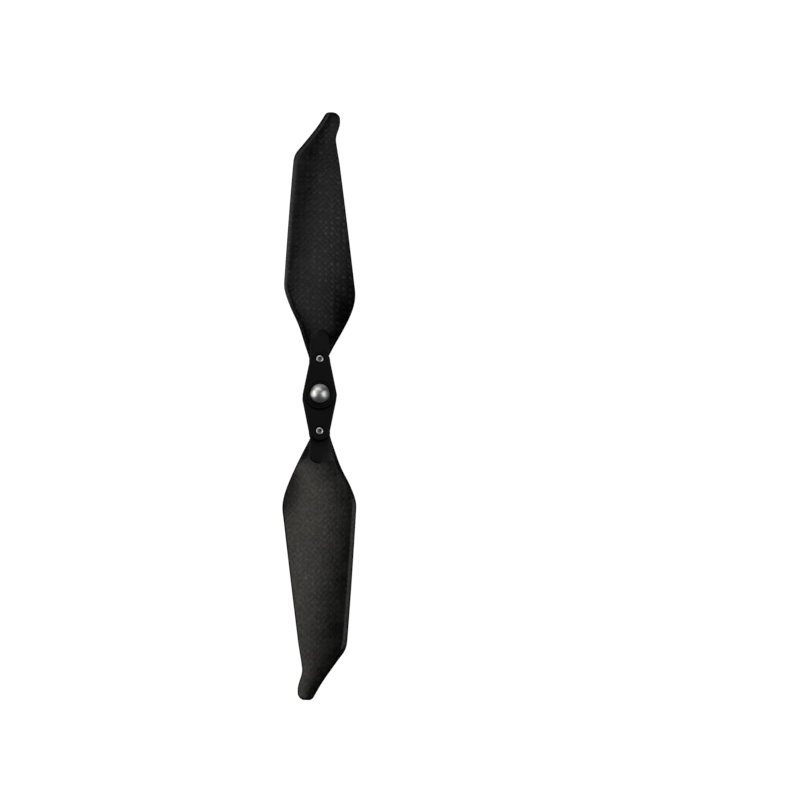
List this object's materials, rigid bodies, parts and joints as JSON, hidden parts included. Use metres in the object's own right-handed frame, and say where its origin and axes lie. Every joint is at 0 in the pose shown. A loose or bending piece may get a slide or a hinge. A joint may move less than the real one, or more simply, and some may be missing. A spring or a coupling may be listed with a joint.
{
  "type": "folding propeller",
  "caption": "Folding multirotor propeller: woven carbon blades on pivot screws in a moulded hub, with a dome nut that screws on the motor shaft.",
  "frame": {"origin": "on the shaft axis, in the plane of the hub's underside, which rests on the motor", "axes": "+Z along the shaft axis, away from the motor; +Y along the first blade from the hub to its tip when the blades are open; seen from +Z the propeller turns counter-clockwise"},
  "size_m": [0.0288, 0.2388, 0.0138],
  "materials": {
    "carbon_laminate": "satin clear lacquer over plain-weave carbon cloth laid at 45 degrees to the blade",
    "hub_plastic": "fine matt moulded glass-filled nylon, black",
    "nut_aluminium": "fine satin, clear anodised",
    "screw_steel": "bright plated",
    "nut_steel": "zinc plated",
    "bush_brass": "turned",
    "washer_nylon": "natural nylon",
    "lock_nylon": "natural nylon, faintly blue"
  },
  "bodies": {
    "hub": {"hub_base": "hub_plastic", "hub_cover": "hub_plastic", "shaft_nut": "nut_aluminium", "pivot_bush_a": "bush_brass", "pivot_bush_b": "bush_brass", "upper_washer_a": "washer_nylon", "upper_washer_b": "washer_nylon", "lower_washer_a": "washer_nylon", "lower_washer_b": "washer_nylon", "pivot_screw_a": "screw_steel", "pivot_screw_b": "screw_steel", "lock_nut_a": "nut_steel", "lock_nut_b": "nut_steel", "lock_ring_a": "lock_nylon", "lock_ring_b": "lock_nylon"},
    "blade_a": {"blade_a": "carbon_laminate"},
    "blade_b": {"blade_b": "carbon_laminate"}
  },
  "joints": [
    {"name": "blade_a_fold", "type": "hinge", "parent": "hub", "child": "blade_a", "pos_m": [0, 0.0146, 0.0062], "axis": [0, 0, 1], "range_deg": [-90, 90]},
    {"name": "blade_b_fold", "type": "hinge", "parent": "hub", "child": "blade_b", "pos_m": [0, -0.0146, 0.0062], "axis": [0, 0, 1], "range_deg": [-90, 90]}
  ]
}
